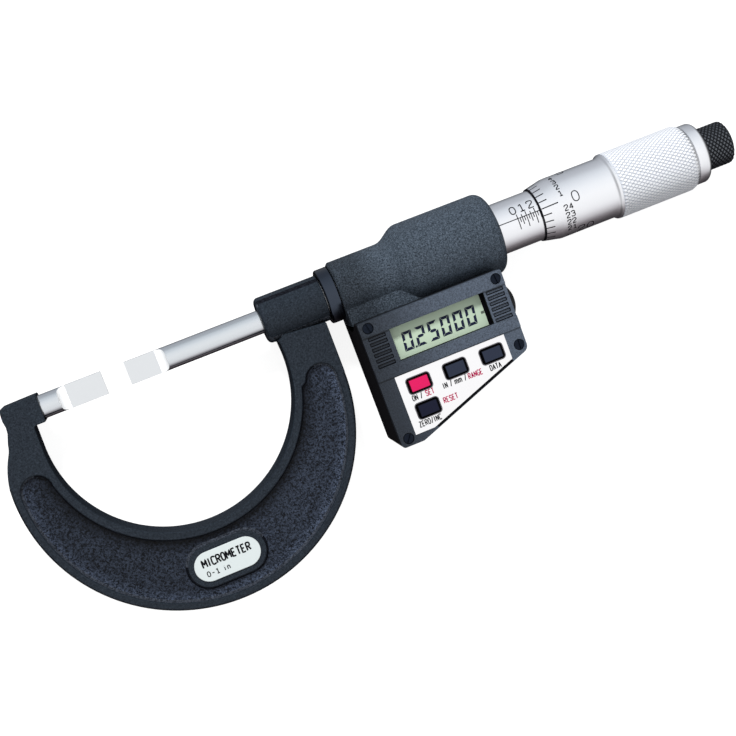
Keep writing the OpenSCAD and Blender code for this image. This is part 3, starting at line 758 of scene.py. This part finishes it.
def build_sleeve():
    x0, x1 = SLEEVE[0].x, SLEEVE[1].x
    bore = 6.06
    profile = [(x0, bore), (x0, SLEEVE_R - 0.15), (x0 + 0.15, SLEEVE_R), (x1 - 0.2, SLEEVE_R),
        (x1, SLEEVE_R - 0.2), (x1, bore)]
    revolve("sleeve_turned", profile, "sleeve_body", ("satin_chrome",),
        ("sleeve",), 160)
    lay = round_at(SLEEVE_R, INDEX_TURN)
    strokes = [([(x0 + 0.3, 0), (x1 - 0.4, 0)], False)]
    for i in range(SLEEVE_LINES):
        x = SCALE_ZERO + i * SCREW_PITCH
        low, high = (-3.05, 1.2) if i % 4 == 0 else (-2.0, 0.8) if i % 2 == 0 else (-1.2, 0)
        strokes.append(([(x, low), (x, high)], False))
    stroke_piece("sleeve_lines", strokes, 0.24, lay, "sleeve_body", "mark_and_shade_black")
    digits = []
    for i in range(0, SLEEVE_LINES, 4):
        x = SCALE_ZERO + i * SCREW_PITCH - 0.45
        digits += text_strokes(str(i // 4 % 10), 2.2, (x, 1.5), stretch=1.15)
    stroke_piece("sleeve_numbers", digits, 0.3, lay, "sleeve_body", "mark_and_shade_black")


def thimble_radius(x):
    cone_end, edge_r = 128.4, 7.4
    k = min(1, max(0, (x - THIMBLE_EDGE) / (cone_end - THIMBLE_EDGE)))
    return edge_r + (PLAIN_R - edge_r) * k


def build_thimble():
    edge, end = THIMBLE_EDGE, THIMBLE[1].x
    inside, dark_end = 7.17, edge + 0.42
    # a black ring at the front edge: painted shade in the gap between thimble and sleeve
    revolve("thimble_edge", [(edge, inside), (edge, 7.3), (edge + 0.12, 7.44), (dark_end, 7.52),
        (dark_end, inside)], "thimble_body", ("mark_and_shade_black",), (), 160)
    cone = [(dark_end, inside), (dark_end, thimble_radius(dark_end)), (128.2, 8.46),
        (128.7, PLAIN_R)]
    flare = [(144.5, PLAIN_R), (144.9, 8.57), (145.2, 8.74), (145.45, 8.98), (145.7, 9.17),
        (146, 9.25)]
    under_knurl = [(146.2, 9.25), (146.35, 9.06), (168.3, 9.06), (168.6, 8.95), (end, 8.6)]
    hollow = [(end, 4.4), (165.9, 4.4), (165.9, 3.2), (157.5, 3.2), (157.5, inside)]
    revolve("thimble_turned", cone + flare + under_knurl + hollow, "thimble_body",
        ("satin_chrome",), ("thimble",), 160)
    knurl("thimble_knurl", 146.25, end - 0.1, KNURL_R, around=54, lead=1.66, depth=0.16,
        body="thimble_body", materials=("knurl_chrome", "knurl_groove_shade"),
        land=0.68, shape=lambda x: KNURL_R - max(0, x - 168.0) * 0.42)
    build_thimble_scale()


def build_thimble_scale():
    r = 7.9
    lines, digits = [], []
    for i in range(THIMBLE_LINES):
        turn = i * math.tau / THIMBLE_LINES
        stop = 128.5 if i == 0 else 126.1
        lines.append(([(THIMBLE_EDGE + 0.45, turn * r), (stop, turn * r)], False))
        left, height = (132.7, 2.8) if i % 5 == 0 else (129.6, 1.5)
        digits += text_strokes(str(i), height, (left, turn * PLAIN_R - height / 2), align=0,
            stretch=1.1, gap=0.28)
    stroke_piece("thimble_lines", lines, 0.3, turn_lay(thimble_radius, INDEX_TURN, r),
        "thimble_body", "mark_and_shade_black")
    stroke_piece("thimble_numbers", digits, 0.28, round_at(thimble_radius, INDEX_TURN),
        "thimble_body", "mark_and_shade_black")


def turn_lay(radius, turn, r0):
    """Like round_at, but v / r0 is the turn, so that lines on a cone stay in the axis' planes."""
    def lay(u, v, h):
        r = radius(u) + h
        a = math.radians(turn) + v / r0
        return (u, r * math.sin(a), r * math.cos(a))
    return lay


def build_ratchet():
    cap = [(169.6, 4.4), (169.6, 8.2), (169.75, 8.42), (170.0, 8.5), (172.2, 8.5)]
    cap += arc(172.3, 7.4, 1.1, 80, 0) + [(173.4, 4.4)]
    revolve("thimble_cap_turned", cap, "thimble_body", ("satin_chrome",),
        ("thimble_cap",), 160)
    x0, x1 = KNOB[0].x, KNOB[1].x
    bore, core, end_r = 5.42, KNOB_R - 0.32, 1.2
    skin = [(x0, bore), (x0, core)] + arc(x1 - end_r, core - end_r + 0.1, end_r - 0.1, 90, 0, 8)
    screw_hole = [(x1 - 0.1, 2.4), (x1 - 0.7, 2.4), (x1 - 0.7, 1.1), (x1 - 1.5, 1.1)]
    revolve("ratchet_knob_core", skin + screw_hole + [(x1 - 1.5, bore)], "ratchet_body",
        ("black_knurl",), ("ratchet_knob",), 96)

    def shape(x):
        k = max(0, x - (x1 - end_r))
        return KNOB_R - end_r + math.sqrt(max(0, end_r ** 2 - k ** 2))
    knurl("ratchet_knob_knurl", x0 + 0.05, x1 - 0.3, KNOB_R, around=24, lead=1.1, depth=0.3,
        body="ratchet_body", materials=("black_knurl", "black_groove_shade"),
        land=0.55, shape=shape)


# ---------------------------------------------------------------- display module

READING = "025000"
SEGMENTS = {"0": "abcdef", "2": "abged", "5": "afgcd"}


def segment_polygons(char, x, y, w, h, t, slant):
    """The lit bars of one seven-segment character whose lower left corner is (x, y)."""
    half = h / 2
    gap = t * 0.07
    bars = {
        "a": [(gap, h), (w - gap, h), (w - t - gap, h - t), (t + gap, h - t)],
        "d": [(t + gap, t), (w - t - gap, t), (w - gap, 0), (gap, 0)],
        "g": [(gap + t * 0.5, half), (t + gap * 0.5, half + t / 2),
            (w - t - gap * 0.5, half + t / 2), (w - gap - t * 0.5, half),
            (w - t - gap * 0.5, half - t / 2), (t + gap * 0.5, half - t / 2)],
        "f": [(0, h - gap), (t, h - t - gap), (t, half + t / 2 + gap), (0, half + gap)],
        "e": [(0, half - gap), (t, half - t / 2 - gap), (t, t + gap), (0, gap)],
        "b": [(w, h - gap), (w, half + gap), (w - t, half + t / 2 + gap), (w - t, h - t - gap)],
        "c": [(w, half - gap), (w, gap), (w - t, t + gap), (w - t, half - t / 2 - gap)],
    }
    return [[(x + px + py * slant, y + py) for px, py in bars[s]] for s in SEGMENTS[char]]


def plate_of(polygons, z, thick):
    """Flat polygons as thin solid plates standing on z."""
    bm = bmesh.new()
    for polygon in polygons:
        low = [bm.verts.new((x, y, z - 0.01)) for x, y in polygon]
        high = [bm.verts.new((x, y, z + thick)) for x, y in polygon]
        bm.faces.new(high)
        bm.faces.new(low[::-1])
        for i in range(len(low)):
            k = (i + 1) % len(low)
            bm.faces.new((low[i], low[k], high[k], high[i]))
    return to_mesh(bm)


def build_display():
    finish_node("lcd_panel", "lcd_glass", ("display_film",), 0.1)
    top = LCD[1].z
    polygons = []
    left, base, slant = 75.5, -20.5, 0.11
    w, h, t, pitch = 2.68, 5.1, 0.75, 3.62
    for i, char in enumerate(READING):
        polygons += segment_polygons(char, left + i * pitch, base, w, h, t, slant)
    dot = left + w + 0.28
    polygons.append([(dot, base), (dot + 0.55, base), (dot + 0.6, base + 0.5),
        (dot + 0.05, base + 0.5)])
    new_piece("lcd_digits", plate_of(polygons, top, 0.02), "frame_body",
        ("segment_dark",))
    # painted shade at the right end of the window, a dark strip laid on the glass, and the small
    # mark before it
    side = [[(99.0, -22.4), (100.4, -22.4), (100.4, -12.6), (99.0, -12.6)]]
    mark = [[(98.0, -18.6), (98.9, -18.6), (98.95, -17.9), (98.05, -17.9)]]
    new_piece("lcd_painted_shade", plate_of(side, top, 0.02), "frame_body", ("recess_painted_shade",))
    new_piece("lcd_mark", plate_of(mark, top, 0.02), "frame_body", ("display_grey",))


LEGENDS = [
    # text, x of its left end, y of its baseline, ink
    ("ON /", 72.4, -33.0, "ink_black"), ("SET", 76.2, -33.0, "ink_red"),
    ("IN / mm /", 81.1, -32.95, "ink_black"), ("RANGE", 88.4, -33.05, "ink_red"),
    ("DATA", 94.6, -33.2, "ink_black"),
    ("RESET", 80.0, -36.55, "ink_red"),
    ("ZERO/INC", 71.7, -40.1, "ink_black"),
]


def build_label():
    bm = cad_copy("keypad_label", nowhere)
    new_piece("keypad_film", to_mesh(bm), "frame_body", ("label_white",),
        ("keypad_label",))
    lay = flat_at(LABEL[1].z)
    for ink in ("ink_black", "ink_red"):
        strokes = []
        for text, x, y, own in LEGENDS:
            if own == ink:
                strokes += text_strokes(text, 1.42, (x, y), align=0, stretch=0.64, gap=0.32)
        stroke_piece("keypad_legend_" + ink[4:], strokes, 0.25, lay, "frame_body", ink)


# the cover's sloping side: its normal in X and Y, and its distance from the axis
SLOPE_N = (0.337, -0.9415)
SLOPE_C = 65.3
# low and high edge of the window in the cover
WINDOW_Y = (-21.92, -13.05)
# height of the sunk field with the grilles and the label
FIELD_Z = COVER[1].z - 0.4


def along_slope(x, y):
    """Distance of a point from the Z axis, measured along the normal of the sloping side."""
    return SLOPE_N[0] * x + SLOPE_N[1] * y


def in_recess(face):
    """The floors and walls of the window, the grille's grooves and the places for the keys, and
    the cover's sloping side."""
    # the faces picked here take the black of painted shade
    c = face.calc_center_median()
    if along_slope(face.normal.x, face.normal.y) > 0.6:
        return int(abs(along_slope(c.x, c.y) - SLOPE_C) < 0.6)
    low, high = COVER
    sunk = c.z < FIELD_Z - 0.15
    window = 72 < c.x < 100.2 and -22.1 < c.y < -12.9
    keys = c.z > 11.6 and c.y < -26 and low.x + 1.5 < c.x < high.x - 1.5
    return int(sunk and (window or keys))


# materials of each key's top and side; the side takes painted shade, a darker copy of the red or
# the painted shade black
KEY_LOOKS = {
    "key_shift": ("red_key", "red_key_painted_shade"), "key_unit": ("dark_key", "recess_painted_shade"),
    "key_hold": ("dark_key", "recess_painted_shade"), "key_zero": ("darker_key", "recess_painted_shade"),
}


def grille_lines():
    """Painted shade: dark lines on the edges of the grooves beside the window, and grey lines round
    the keys.
    """
    grooves, pitch = 6, 1.51
    thin, wide = 0.19, 0.28
    strokes = []
    for x0, x1 in ((67, 71.7), (100.5, 105.2)):
        for i in range(grooves):
            low, high = -14.2 - pitch * i, -13.4 - pitch * i
            strokes.append(([(x0, low), (x1, low)], False, wide))
            strokes.append(([(x0, high), (x1, high)], False, thin))
            strokes += [([(x, low), (x, high)], False, thin) for x in (x0, x1)]
    stroke_piece("cover_grille_shade", strokes, thin, flat_at(FIELD_Z), "frame_body",
        "recess_painted_shade", thick=0.015, step=5)
    rims = []
    half_x, half_y, r = 3.36, 2.21, 0.95
    for node in KEY_LOOKS:
        low, high = span(node)
        cx, cy = (low.x + high.x) / 2, (low.y + high.y) / 2
        points = []
        for sx, sy, turn in ((1, 1, 0), (-1, 1, 90), (-1, -1, 180), (1, -1, 270)):
            points += arc(cx + sx * (half_x - r), cy + sy * (half_y - r), r, turn, turn + 90)
        rims.append((points, True))
    stroke_piece("key_rim_shade", rims, 0.24, flat_at(LABEL[1].z), "frame_body", "rim_grey_shade",
        thick=0.015, step=5)


def slope_trim():
    """Painted shade: a dark strip beside the label along the cover's sloping side."""
    low, high = LABEL
    middle, width = SLOPE_C - 0.52, 0.68
    ends = [(high.x, (SLOPE_N[0] * high.x - middle) / -SLOPE_N[1]),
        ((middle - SLOPE_N[1] * low.y) / SLOPE_N[0], low.y)]
    stroke_piece("cover_edge_shade", [(ends, False)], width, flat_at(high.z - 0.03), "frame_body",
        "recess_painted_shade", thick=0.05, step=2)


def stays_sharp(p):
    """The cover's back, and the narrow strips above and below the window."""
    return p.z < COVER[0].z + 0.05 or any(abs(p.y - y) < 0.15 for y in WINDOW_Y)


def build_module():
    finish_node("front_cover", "front_cover_moulded", ("slate", "recess_painted_shade"), 0.12,
        pick=in_recess, plain=stays_sharp)
    slope_trim()
    grille_lines()
    finish_node("module_case", "module_case_moulded", ("case_black",), 0.25)
    finish_node("rear_cover", "rear_cover_moulded", ("case_black",), 0.4)
    for node, (top, side) in KEY_LOOKS.items():
        finish_node(node, node + "_cap", (top, side), 0.4, 3, pick=lambda f: int(f.normal.z < 0.85))
    finish_node("battery_tray", "battery_tray_moulded", ("case_black",), 0.3)
    for node in ("cover_screws", "rear_screws"):
        finish_node(node, node + "_slotted", ("screw_steel",), 0.12)
    build_display()
    build_label()


# ---------------------------------------------------------------- inner pieces

# CAD material slots of the inner pieces, and the looks they get
INNER = {
    "steel": "steel", "brass": "brass", "board": "board_green", "pale_plastic": "pale_plastic",
    "dark_plastic": "case_black", "screw_steel": "screw_steel",
}


def build_inner():
    """What no cover shows keeps its CAD shape, with its edges eased and a material of its own."""
    for node, shape in frame["nodes"].items():
        if not shape.hide_render:
            width = 0 if node == "ratchet_spring" else 0.05
            finish_node(node, node + "_part", (INNER[slot_of(node)],), width, 1)


# ---------------------------------------------------------------- stage


def world_light():
    world = bpy.data.worlds.new("studio")
    bpy.context.scene.world = world
    world.use_nodes = True
    nodes, links = world.node_tree.nodes, world.node_tree.links
    back = next(n for n in nodes if n.type == "BACKGROUND")
    place = nodes.new("ShaderNodeTexCoord").outputs["Generated"]
    split = nodes.new("ShaderNodeSeparateXYZ")
    links.new(place, split.inputs[0])

    def ramp(fac, stops):
        return color_ramp(nodes, links, fac, stops)

    def remap(out):
        node = nodes.new("ShaderNodeMath")
        node.operation = "MULTIPLY_ADD"
        node.inputs[1].default_value = node.inputs[2].default_value = 0.5
        links.new(out, node.inputs[0])
        return node.outputs[0]

    def mixed(low, high, **settings):
        """Two colours mixed; returns the node and its colour output."""
        node = nodes.new("ShaderNodeMix")
        node.data_type = "RGBA"
        for key, value in settings.items():
            setattr(node, key, value)
        for name, color in (("A", low), ("B", high)):
            links.new(color, next(s for s in node.inputs if s.name == name and s.type == "RGBA"))
        return node, next(s for s in node.outputs if s.type == "RGBA")

    # each runs from the throat's side (-Y) to the far side (+Y)
    upper = ramp(remap(split.outputs["Y"]), [(0, (0.24, 0.22, 0.23)), (0.0225, (0.5, 0.48, 0.49)),
        (0.078, (0.8, 0.79, 0.8)), (0.155, (0.92, 0.92, 0.92)), (0.5, (1, 1, 1)),
        (0.77, (0.93, 0.95, 0.97)), (0.86, (0.85, 0.88, 0.91)), (0.933, (0.77, 0.8, 0.84)),
        (0.983, (0.66, 0.7, 0.74)), (1, (0.54, 0.57, 0.6))])
    lower = ramp(remap(split.outputs["Y"]), [(0, (0.2, 0.17, 0.18)), (0.03, (0.1, 0.085, 0.09)),
        (0.1, (0.03, 0.025, 0.028)), (0.6, (0.01, 0.01, 0.012)), (0.85, (0.38, 0.4, 0.43)),
        (1, (0.5, 0.52, 0.56))])
    side = ramp(remap(split.outputs["Z"]), [(0.46, 0), (0.54, 1)])
    mix, sky = mixed(lower, upper)
    links.new(side, mix.inputs["Factor"])
    sideways = nodes.new("ShaderNodeMath")
    sideways.operation = "ABSOLUTE"
    links.new(split.outputs["X"], sideways.inputs[0])
    wings = ramp(sideways.outputs[0], [(0.55, 1), (0.86, 0.4), (1, 0.12)])
    dim, dimmed = mixed(sky, wings, blend_type="MULTIPLY")
    dim.inputs["Factor"].default_value = 1
    links.new(dimmed, back.inputs["Color"])
    back.inputs["Strength"].default_value = 1.12


def area_light(name, place, aim, size, power):
    """A round soft light, in metres and watts, that shows neither itself nor its mirror image."""
    data = bpy.data.lights.new(name, "AREA")
    data.shape = "DISK"
    data.size = size
    data.energy = power
    lamp = bpy.data.objects.new(name, data)
    lamp.location = place
    lamp.rotation_mode = "QUATERNION"
    lamp.rotation_quaternion = (Vector(aim) - Vector(place)).to_track_quat("-Z", "Y")
    lamp.visible_camera = False
    lamp.visible_glossy = False
    bpy.context.scene.collection.objects.link(lamp)


def build_stage():
    """The floor, which reaches 30 metres so that it ends close to the horizon, and the light."""
    floor_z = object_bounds()[0].z
    bm = bmesh.new()
    reach = 30
    corners = [bm.verts.new((x * reach, y * reach, 0))
        for x, y in ((-1, -1), (1, -1), (1, 1), (-1, 1))]
    bm.faces.new(corners)
    mesh = bpy.data.meshes.new("floor")
    bm.to_mesh(mesh)
    bm.free()
    floor = bpy.data.objects.new("floor", mesh)
    floor.location.z = floor_z
    mesh.materials.append(floor_white())
    floor.visible_glossy = False
    floor.visible_diffuse = False
    bpy.context.scene.collection.objects.link(floor)
    world_light()
    area_light("key_light", (0.0, 0.45, 0.42), (0.05, -0.03, 0), 0.12, 5)


# ---------------------------------------------------------------- the scene

add_camera()
build_body()
build_rods()
build_sleeve()
build_thimble()
build_ratchet()
build_module()
build_inner()
build_stage()
bpy.context.scene.view_settings.view_transform = "Standard"
